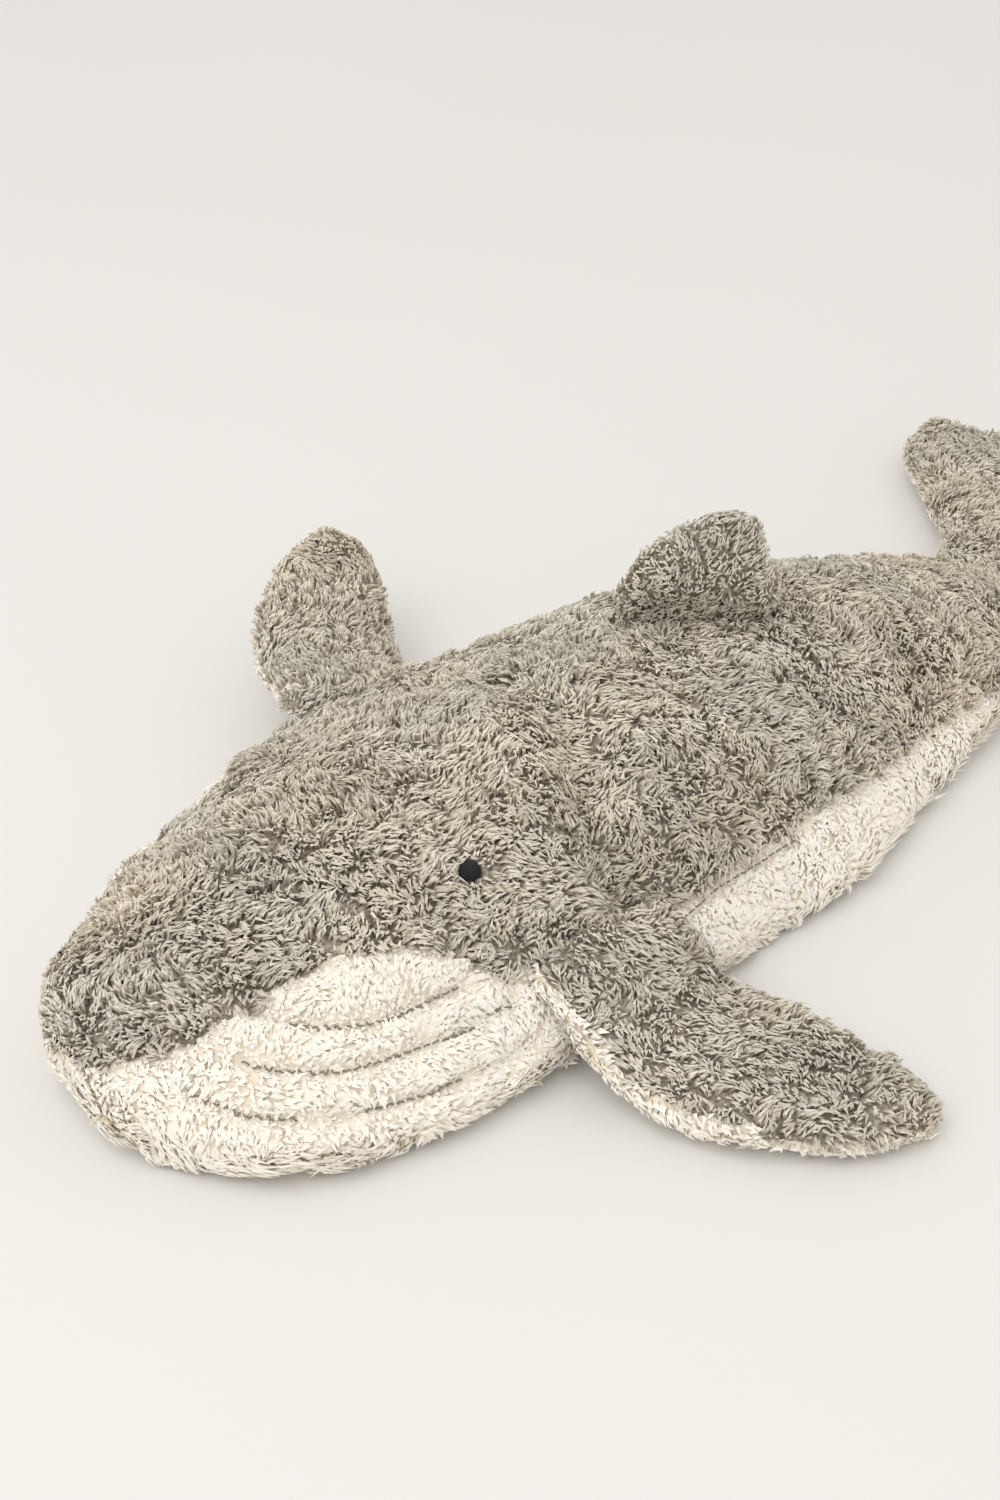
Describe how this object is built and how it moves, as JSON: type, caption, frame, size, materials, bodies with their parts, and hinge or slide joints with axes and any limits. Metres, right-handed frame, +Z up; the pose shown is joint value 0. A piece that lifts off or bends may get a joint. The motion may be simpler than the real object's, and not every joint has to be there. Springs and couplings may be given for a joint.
{
  "type": "stuffed toy whale",
  "caption": "Long-pile plush whale lying slack on its belly, grey back and cream ribbed belly, with soft side fins, back fin and tail fin that fold at their seams.",
  "frame": {"origin": "on the floor under the belly, at the middle of the whole outline's length and width", "axes": "+X from the snout towards the tail fin, +Y to the whale's right, +Z up from the floor"},
  "size_m": [0.5254, 0.3287, 0.0952],
  "materials": {
    "grey_plush": "long combed pile, soft sheen",
    "cream_plush": "long combed pile, soft sheen",
    "black_thread": "satin stitched thread",
    "fibre_fill": "matt fibre wadding",
    "linen": "matt woven cloth",
    "fastening_tape": "matt hook-and-loop tape"
  },
  "bodies": {
    "body": {"back_panel_left": "grey_plush", "back_panel_right": "grey_plush", "belly_panel": "cream_plush", "head_stuffing": "fibre_fill", "tail_stuffing": "fibre_fill", "grain_pouch": "linen", "closure_hook_tape": "fastening_tape", "closure_loop_tape": "fastening_tape", "eye_left": "black_thread", "eye_right": "black_thread"},
    "left_fin": {"left_fin_top": "grey_plush", "left_fin_under": "cream_plush", "left_fin_stuffing": "fibre_fill"},
    "right_fin": {"right_fin_top": "grey_plush", "right_fin_under": "cream_plush", "right_fin_stuffing": "fibre_fill"},
    "back_fin": {"back_fin_right": "grey_plush", "back_fin_left": "grey_plush", "back_fin_stuffing": "fibre_fill"},
    "tail_fin": {"tail_fin_top": "grey_plush", "tail_fin_under": "cream_plush", "tail_fin_stuffing": "fibre_fill"}
  },
  "joints": [
    {"name": "left_fin_hinge", "type": "hinge", "parent": "body", "child": "left_fin", "pos_m": [-0.12065, -0.07, 0.029], "axis": [-1, 0, 0], "range_deg": [0, 85]},
    {"name": "right_fin_hinge", "type": "hinge", "parent": "body", "child": "right_fin", "pos_m": [-0.10065, 0.075, 0.029], "axis": [1, 0, 0], "range_deg": [-20, 50]},
    {"name": "back_fin_hinge", "type": "hinge", "parent": "body", "child": "back_fin", "pos_m": [-0.01265, 0.0085, 0.06067], "axis": [0.8387, -0.5446, 0], "range_deg": [-45, 45], "stiffness_Nm_per_rad": 0.003},
    {"name": "tail_fin_hinge", "type": "hinge", "parent": "body", "child": "tail_fin", "pos_m": [0.14715, 0, 0.01], "axis": [0, -1, 0], "range_deg": [-65, 65]}
  ]
}
